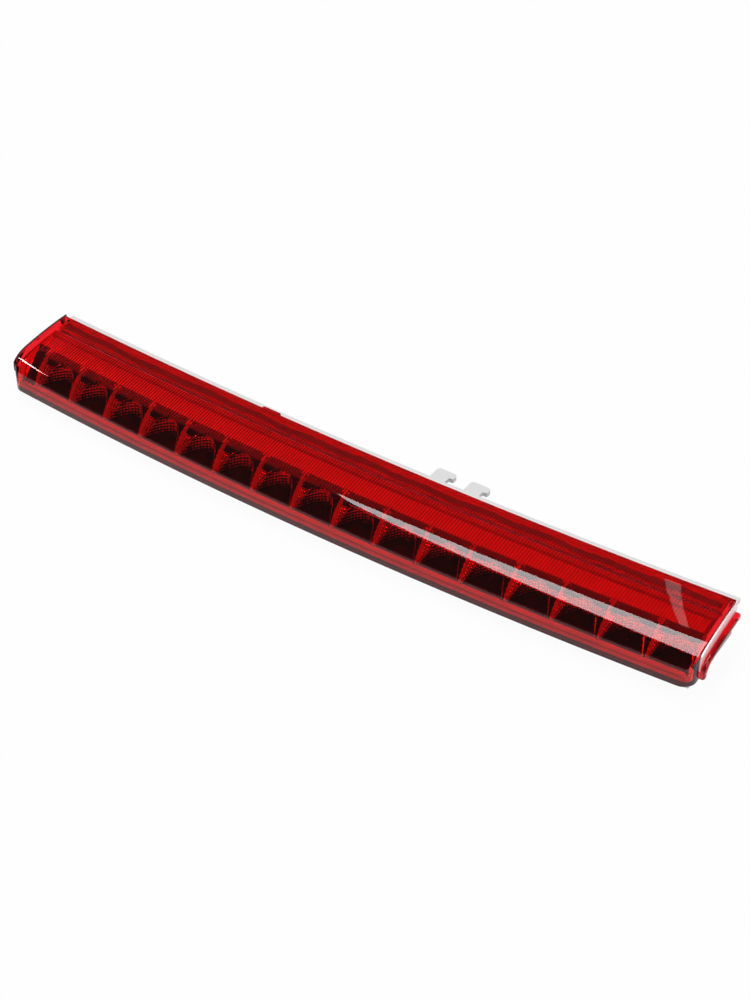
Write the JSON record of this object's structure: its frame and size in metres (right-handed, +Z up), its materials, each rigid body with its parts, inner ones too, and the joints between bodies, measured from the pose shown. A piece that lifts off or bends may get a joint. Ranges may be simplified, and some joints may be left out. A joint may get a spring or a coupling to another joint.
{
  "type": "third brake light",
  "caption": "Bowed red brake lamp bar with a fluted face, rounded nose, row of parabolic reflector cells and a white housing with two hooks at the back.",
  "frame": {"origin": "middle of the bounding box's underside, on the surface the lamp stands on", "axes": "+X along the lamp, -Y towards the nose that light leaves through, +Z up from the underside"},
  "size_m": [0.3774, 0.0548, 0.026],
  "materials": {
    "red_lens": "polished clear red acrylic",
    "glue": "satin dark brown sealant",
    "white_housing": "satin moulded white",
    "foam": "closed-cell foam",
    "reflector_bright": "bright metallised moulding",
    "board_black": "satin solder mask",
    "steel": "zinc-plated",
    "resistor_black": "satin",
    "moulded_black": "matte",
    "capacitor_body": "matte",
    "tin": "tin-plated",
    "brass": "turned",
    "membrane_white": "matte",
    "cap_black": "satin",
    "led_clear": "clear epoxy"
  },
  "bodies": {
    "root": {"outer_lens": "red_lens", "rear_seal_bead": "glue", "rim_seal_bead": "glue", "housing": "white_housing", "base_gasket": "foam", "reflector": "reflector_bright", "led_board": "board_black", "board_screws": "steel", "string_resistors": "resistor_black", "reverse_polarity_diode": "moulded_black", "surge_suppressor": "moulded_black", "filter_capacitor": "capacitor_body", "terminal_pin_left": "tin", "terminal_pin_right": "tin", "threaded_insert_left": "brass", "threaded_insert_right": "brass", "breather_membrane": "membrane_white", "breather_cap": "cap_black", "led_01": "led_clear", "led_02": "led_clear", "led_03": "led_clear", "led_04": "led_clear", "led_05": "led_clear", "led_06": "led_clear", "led_07": "led_clear", "led_08": "led_clear", "led_09": "led_clear", "led_10": "led_clear", "led_11": "led_clear", "led_12": "led_clear", "led_13": "led_clear", "led_14": "led_clear", "led_15": "led_clear", "led_16": "led_clear"}
  },
  "joints": []
}
